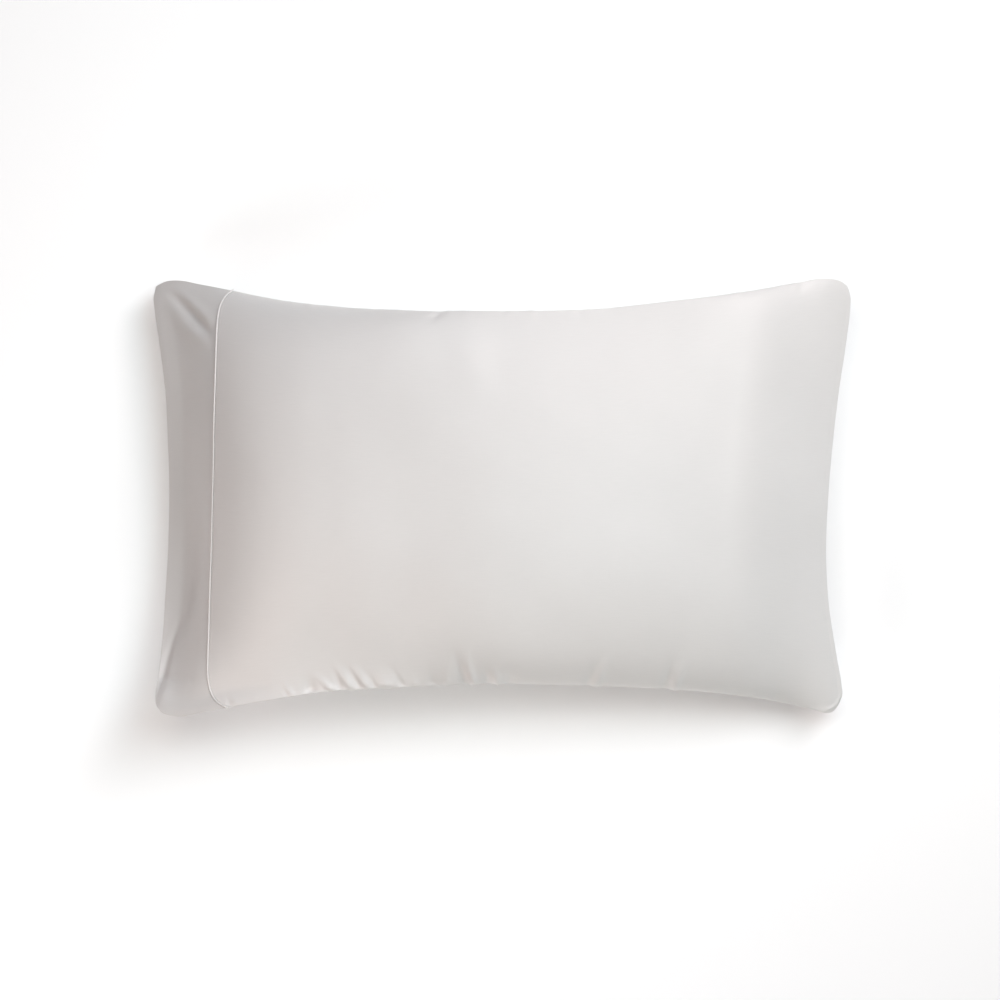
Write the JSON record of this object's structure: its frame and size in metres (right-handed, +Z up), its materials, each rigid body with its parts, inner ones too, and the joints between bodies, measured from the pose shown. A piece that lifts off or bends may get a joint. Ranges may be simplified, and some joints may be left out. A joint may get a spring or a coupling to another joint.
{
  "type": "pillowcase",
  "caption": "Piped-cuff satin pillowcase drawn over its pillow: crowned, sides drawn in between four corner ears, puckered long seams, flat slit mouth at one short end; lies on its back.",
  "frame": {"origin": "On the surface that the pillowcase lies on, under the middle of its box.", "axes": "+X along the case from the open mouth with its cuff to the sewn end, +Y across it towards the back seam, +Z up from the surface that it lies on."},
  "size_m": [0.7361, 0.4585, 0.1696],
  "materials": {
    "satin": "satin",
    "piping_satin": "satin"
  },
  "bodies": {
    "root": {"case_body": "satin", "hem_cuff": "satin", "cuff_piping": "piping_satin"}
  },
  "joints": []
}
